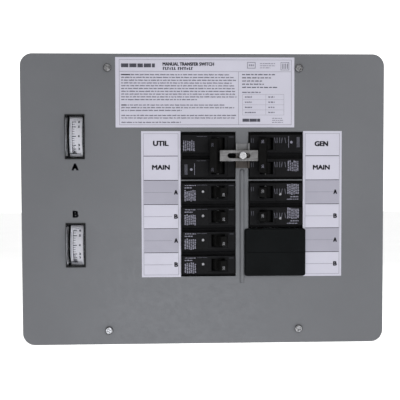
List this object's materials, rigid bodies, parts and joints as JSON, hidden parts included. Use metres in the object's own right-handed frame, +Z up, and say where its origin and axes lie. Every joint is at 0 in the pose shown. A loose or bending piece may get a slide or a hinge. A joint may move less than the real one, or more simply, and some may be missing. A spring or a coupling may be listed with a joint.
{
  "type": "manual transfer switch",
  "caption": "Flush-mount manual transfer switch panel: steel box and cover, two interlocked two-pole mains, toggling branch breakers, bus bars and edgewise load meters.",
  "frame": {"origin": "centre of the box's back face, which rests on the wall", "axes": "+X to the right seen from the front, -Y out of the front, +Z up; at rest the generator main and the branches are ON and the utility main is OFF"},
  "size_m": [0.381, 0.115, 0.3048],
  "materials": {
    "grey_paint": "satin",
    "label_film": "satin",
    "zinc_steel": "satin",
    "zinc_sheet": "satin",
    "tinned_aluminium": "satin",
    "copper": "satin",
    "meter_plastic": "gloss",
    "breaker_plastic": "matte",
    "handle_plastic": "satin",
    "filler_plastic": "satin",
    "lead_jacket": "satin",
    "base_moulding": "matte",
    "clear_window": "gloss",
    "scale_white": "matte",
    "pointer_metal": "matte",
    "magnet": "matte"
  },
  "bodies": {
    "body": {"box_wrap": "grey_paint", "box_top_end": "grey_paint", "box_bottom_end": "grey_paint", "cover_plate": "grey_paint", "cover_screws": "zinc_steel", "top_label": "label_film", "directory_labels": "label_film", "meter_leads": "lead_jacket", "filler_plate": "filler_plastic", "interlock_channel": "zinc_steel", "interlock_screw": "zinc_steel", "interlock_nut": "zinc_steel", "util_main_case": "breaker_plastic", "gen_main_case": "breaker_plastic", "branch_1_case": "breaker_plastic", "branch_2_case": "breaker_plastic", "branch_3_case": "breaker_plastic", "branch_4_case": "breaker_plastic", "branch_5_case": "breaker_plastic", "branch_6_case": "breaker_plastic", "breaker_pins": "zinc_steel", "stab_jaws": "copper", "terminal_lugs": "tinned_aluminium", "lug_screws": "zinc_steel", "trip_units": "copper", "interior_pan": "zinc_sheet", "pan_screws": "zinc_steel", "hook_rails": "zinc_sheet", "bus_base": "base_moulding", "bus_a": "tinned_aluminium", "bus_b": "tinned_aluminium", "neutral_bar": "tinned_aluminium", "neutral_standoffs": "base_moulding", "ground_bar": "tinned_aluminium", "bar_screws": "zinc_steel", "meter_a_case": "meter_plastic", "meter_b_case": "meter_plastic", "meter_windows": "clear_window", "meter_scales": "scale_white", "meter_magnets": "magnet", "meter_studs": "zinc_steel"},
    "util_handle": {"util_main_handle": "handle_plastic"},
    "gen_handle": {"gen_main_handle": "handle_plastic"},
    "interlock_bar": {"interlock_plate": "zinc_steel"},
    "util_contact_arms": {"util_arms": "copper"},
    "gen_contact_arms": {"gen_arms": "copper"},
    "meter_a_needle": {"meter_a_pointer": "pointer_metal"},
    "meter_b_needle": {"meter_b_pointer": "pointer_metal"},
    "branch_1_toggle": {"branch_1_handle": "handle_plastic"},
    "branch_1_contact_arm": {"branch_1_arm": "copper"},
    "branch_2_toggle": {"branch_2_handle": "handle_plastic"},
    "branch_2_contact_arm": {"branch_2_arm": "copper"},
    "branch_3_toggle": {"branch_3_handle": "handle_plastic"},
    "branch_3_contact_arm": {"branch_3_arm": "copper"},
    "branch_4_toggle": {"branch_4_handle": "handle_plastic"},
    "branch_4_contact_arm": {"branch_4_arm": "copper"},
    "branch_5_toggle": {"branch_5_handle": "handle_plastic"},
    "branch_5_contact_arm": {"branch_5_arm": "copper"},
    "branch_6_toggle": {"branch_6_handle": "handle_plastic"},
    "branch_6_contact_arm": {"branch_6_arm": "copper"}
  },
  "joints": [
    {"name": "util_main_throw", "type": "hinge", "parent": "body", "child": "util_handle", "pos_m": [0.01465, -0.0966, 0.0458], "axis": [0, 0, 1], "range_deg": [0, 36]},
    {"name": "gen_main_throw", "type": "hinge", "parent": "body", "child": "gen_handle", "pos_m": [0.06555, -0.0966, 0.0458], "axis": [0, 0, 1], "range_deg": [0, 36]},
    {"name": "interlock_slide", "type": "slide", "parent": "body", "child": "interlock_bar", "axis": [1, 0, 0], "range_m": [0, 0.00825]},
    {"name": "util_contacts", "type": "hinge", "parent": "body", "child": "util_contact_arms", "pos_m": [0.01465, -0.0826, 0.0458], "axis": [0, 0, 1], "range_deg": [-14.05, 0]},
    {"name": "gen_contacts", "type": "hinge", "parent": "body", "child": "gen_contact_arms", "pos_m": [0.06555, -0.0826, 0.0458], "axis": [0, 0, 1], "range_deg": [-14.05, 0]},
    {"name": "branch_1_throw", "type": "hinge", "parent": "body", "child": "branch_1_toggle", "pos_m": [0.01465, -0.0966, 0.0077], "axis": [0, 0, 1], "range_deg": [-36, 0]},
    {"name": "branch_1_contacts", "type": "hinge", "parent": "body", "child": "branch_1_contact_arm", "pos_m": [0.01465, -0.0826, 0.0077], "axis": [0, 0, 1], "range_deg": [0, 14.05]},
    {"name": "branch_2_throw", "type": "hinge", "parent": "body", "child": "branch_2_toggle", "pos_m": [0.01465, -0.0966, -0.0177], "axis": [0, 0, 1], "range_deg": [-36, 0]},
    {"name": "branch_2_contacts", "type": "hinge", "parent": "body", "child": "branch_2_contact_arm", "pos_m": [0.01465, -0.0826, -0.0177], "axis": [0, 0, 1], "range_deg": [0, 14.05]},
    {"name": "branch_3_throw", "type": "hinge", "parent": "body", "child": "branch_3_toggle", "pos_m": [0.01465, -0.0966, -0.0431], "axis": [0, 0, 1], "range_deg": [-36, 0]},
    {"name": "branch_3_contacts", "type": "hinge", "parent": "body", "child": "branch_3_contact_arm", "pos_m": [0.01465, -0.0826, -0.0431], "axis": [0, 0, 1], "range_deg": [0, 14.05]},
    {"name": "branch_4_throw", "type": "hinge", "parent": "body", "child": "branch_4_toggle", "pos_m": [0.01465, -0.0966, -0.0685], "axis": [0, 0, 1], "range_deg": [-36, 0]},
    {"name": "branch_4_contacts", "type": "hinge", "parent": "body", "child": "branch_4_contact_arm", "pos_m": [0.01465, -0.0826, -0.0685], "axis": [0, 0, 1], "range_deg": [0, 14.05]},
    {"name": "branch_5_throw", "type": "hinge", "parent": "body", "child": "branch_5_toggle", "pos_m": [0.06555, -0.0966, 0.0077], "axis": [0, 0, 1], "range_deg": [0, 36]},
    {"name": "branch_5_contacts", "type": "hinge", "parent": "body", "child": "branch_5_contact_arm", "pos_m": [0.06555, -0.0826, 0.0077], "axis": [0, 0, 1], "range_deg": [-14.05, 0]},
    {"name": "branch_6_throw", "type": "hinge", "parent": "body", "child": "branch_6_toggle", "pos_m": [0.06555, -0.0966, -0.0177], "axis": [0, 0, 1], "range_deg": [0, 36]},
    {"name": "branch_6_contacts", "type": "hinge", "parent": "body", "child": "branch_6_contact_arm", "pos_m": [0.06555, -0.0826, -0.0177], "axis": [0, 0, 1], "range_deg": [-14.05, 0]},
    {"name": "meter_a_swing", "type": "hinge", "parent": "body", "child": "meter_a_needle", "pos_m": [-0.1345, -0.06956, 0.066], "axis": [-1, 0, 0], "range_deg": [0, 56], "stiffness_Nm_per_rad": 0.0004},
    {"name": "meter_b_swing", "type": "hinge", "parent": "body", "child": "meter_b_needle", "pos_m": [-0.1345, -0.06956, -0.0473], "axis": [-1, 0, 0], "range_deg": [0, 56], "stiffness_Nm_per_rad": 0.0004}
  ],
  "couplings": [
    {"joint": "gen_main_throw", "follows": "util_main_throw", "ratio": 1},
    {"joint": "interlock_slide", "follows": "util_main_throw", "m_per_rad": 0.013051},
    {"joint": "util_contacts", "follows": "util_main_throw", "ratio": -0.38889},
    {"joint": "gen_contacts", "follows": "util_main_throw", "ratio": -0.38889},
    {"joint": "branch_1_contacts", "follows": "branch_1_throw", "ratio": -0.38889},
    {"joint": "branch_2_contacts", "follows": "branch_2_throw", "ratio": -0.38889},
    {"joint": "branch_3_contacts", "follows": "branch_3_throw", "ratio": -0.38889},
    {"joint": "branch_4_contacts", "follows": "branch_4_throw", "ratio": -0.38889},
    {"joint": "branch_5_contacts", "follows": "branch_5_throw", "ratio": -0.38889},
    {"joint": "branch_6_contacts", "follows": "branch_6_throw", "ratio": -0.38889}
  ]
}
